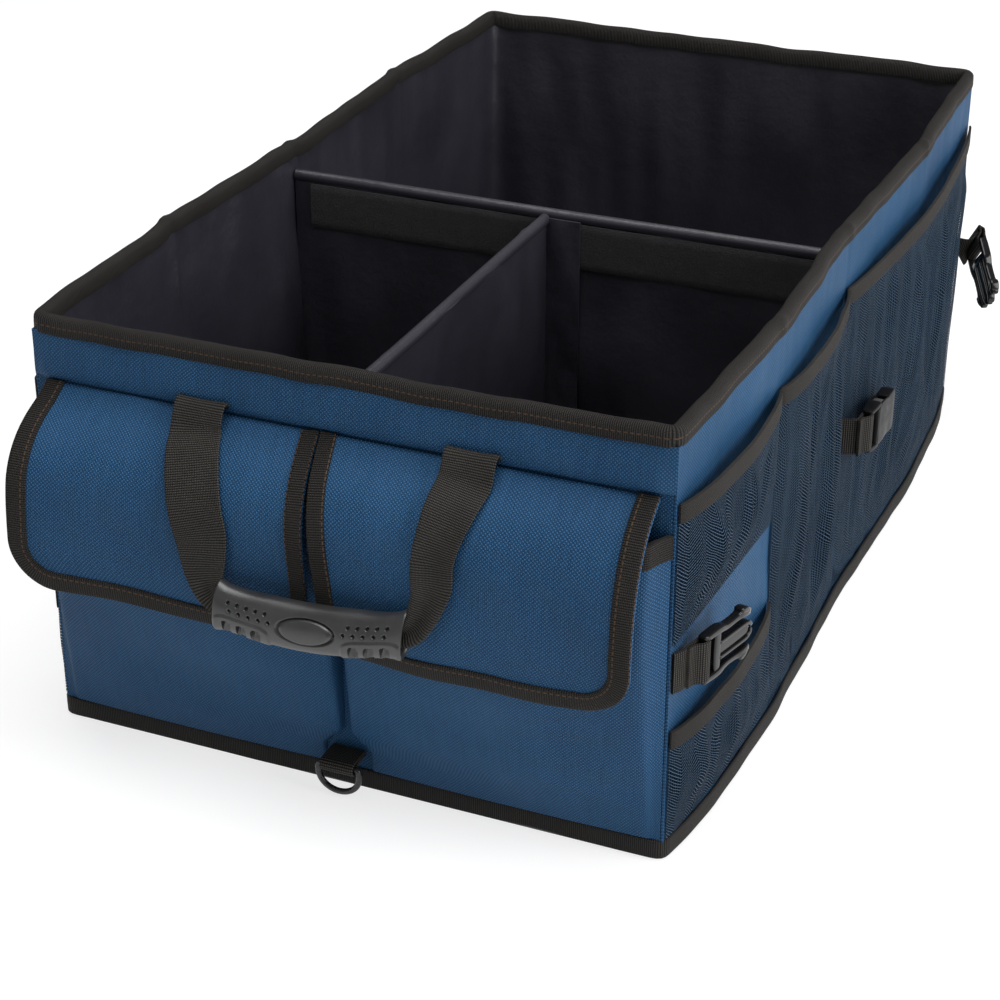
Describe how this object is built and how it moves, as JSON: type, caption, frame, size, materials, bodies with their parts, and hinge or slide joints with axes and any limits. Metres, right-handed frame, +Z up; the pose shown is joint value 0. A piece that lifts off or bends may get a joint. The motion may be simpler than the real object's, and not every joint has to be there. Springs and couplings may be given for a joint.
{
  "type": "car trunk organizer",
  "caption": "Open-topped collapsible cloth box for a car boot, with compartments, flapped end pockets, net side pockets, end handles, tie rings and side clips.",
  "frame": {"origin": "the middle of the foot, on the floor under the box", "axes": "+X to the right seen from the front end, +Y from the front end to the rear end along the length, +Z up"},
  "size_m": [0.4566, 0.7728, 0.26],
  "materials": {
    "blue_cloth": "coarse plain weave polyester cloth, coated behind",
    "satin_lining": "smooth coated lining cloth with a satin sheen",
    "binding_tape": "ribbed woven tape and webbing",
    "pocket_net": "knitted net, dark blue over the cloth behind",
    "stiffener": "plain stiffener sheet",
    "grip_rubber": "moulded soft grip, fine grain",
    "buckle_plastic": "black moulded acetal, glossy",
    "ring_metal": "black plated steel wire"
  },
  "bodies": {
    "shell": {"front_panel": "blue_cloth", "front_board": "stiffener", "front_pocket_right": "blue_cloth", "front_pocket_left": "blue_cloth", "front_flap_right": "blue_cloth", "front_flap_left": "blue_cloth", "front_ring_tab": "binding_tape", "rear_panel": "blue_cloth", "rear_board": "stiffener", "rear_pocket_left": "blue_cloth", "rear_pocket_right": "blue_cloth", "rear_flap_left": "blue_cloth", "rear_flap_right": "blue_cloth", "rear_ring_tab": "binding_tape", "right_side_panel": "blue_cloth", "right_board_1": "stiffener", "right_board_2": "stiffener", "right_board_3": "stiffener", "right_board_4": "stiffener", "right_mesh_upper": "pocket_net", "right_mesh_lower": "pocket_net", "right_mesh_middle": "pocket_net", "right_mesh_long": "pocket_net", "right_front_tab": "binding_tape", "right_middle_tab": "binding_tape", "right_rear_tab": "binding_tape", "left_side_panel": "blue_cloth", "left_board_1": "stiffener", "left_board_2": "stiffener", "left_board_3": "stiffener", "left_board_4": "stiffener", "left_mesh_upper": "pocket_net", "left_mesh_lower": "pocket_net", "left_mesh_middle": "pocket_net", "left_mesh_long": "pocket_net", "left_front_tab": "binding_tape", "left_middle_tab": "binding_tape", "left_rear_tab": "binding_tape", "base_panel": "binding_tape", "base_board": "stiffener", "lining": "satin_lining", "rim_binding": "binding_tape", "cross_divider": "satin_lining", "cross_divider_loop_tape": "binding_tape", "front_wall_loop_tape": "binding_tape"},
    "front_handle": {"front_handle_webbing": "binding_tape", "front_handle_grip": "grip_rubber"},
    "rear_handle": {"rear_handle_webbing": "binding_tape", "rear_handle_grip": "grip_rubber"},
    "front_ring": {"front_d_ring": "ring_metal"},
    "rear_ring": {"rear_d_ring": "ring_metal"},
    "divider": {"small_divider": "satin_lining"},
    "right_front_clip": {"right_front_buckle": "buckle_plastic"},
    "right_middle_clip": {"right_middle_buckle": "buckle_plastic"},
    "right_rear_clip": {"right_rear_buckle": "buckle_plastic"},
    "left_front_clip": {"left_front_buckle": "buckle_plastic"},
    "left_middle_clip": {"left_middle_buckle": "buckle_plastic"},
    "left_rear_clip": {"left_rear_buckle": "buckle_plastic"}
  },
  "joints": [
    {"name": "front_handle_swing", "type": "hinge", "parent": "shell", "child": "front_handle", "pos_m": [0, -0.3225, 0.2242], "axis": [-1, 0, 0], "range_deg": [0, 120]},
    {"name": "front_ring_swing", "type": "hinge", "parent": "shell", "child": "front_ring", "pos_m": [0, -0.335, 0.0205], "axis": [-1, 0, 0], "range_deg": [-25, 120]},
    {"name": "rear_handle_swing", "type": "hinge", "parent": "shell", "child": "rear_handle", "pos_m": [0, 0.3225, 0.2242], "axis": [1, 0, 0], "range_deg": [0, 120]},
    {"name": "rear_ring_swing", "type": "hinge", "parent": "shell", "child": "rear_ring", "pos_m": [0, 0.335, 0.0205], "axis": [1, 0, 0], "range_deg": [-25, 120]},
    {"name": "divider_slide", "type": "slide", "parent": "shell", "child": "divider", "axis": [1, 0, 0], "range_m": [-0.11, 0.11]},
    {"name": "right_front_clip_swing", "type": "hinge", "parent": "shell", "child": "right_front_clip", "pos_m": [0.199, -0.298, 0.118], "axis": [0, 0, -1], "range_deg": [-12, 75]},
    {"name": "right_middle_clip_swing", "type": "hinge", "parent": "shell", "child": "right_middle_clip", "pos_m": [0.206, 0.003, 0.118], "axis": [0, 0, -1], "range_deg": [0, 75]},
    {"name": "right_rear_clip_swing", "type": "hinge", "parent": "shell", "child": "right_rear_clip", "pos_m": [0.203, 0.322, 0.124], "axis": [0.3838, -0.5481, 0.7431], "range_deg": [-15, 60]},
    {"name": "left_front_clip_swing", "type": "hinge", "parent": "shell", "child": "left_front_clip", "pos_m": [-0.199, -0.298, 0.118], "axis": [0, 0, 1], "range_deg": [-12, 75]},
    {"name": "left_middle_clip_swing", "type": "hinge", "parent": "shell", "child": "left_middle_clip", "pos_m": [-0.206, 0.003, 0.118], "axis": [0, 0, 1], "range_deg": [0, 75]},
    {"name": "left_rear_clip_swing", "type": "hinge", "parent": "shell", "child": "left_rear_clip", "pos_m": [-0.203, 0.322, 0.124], "axis": [0.3838, 0.5481, -0.7431], "range_deg": [-15, 60]}
  ]
}
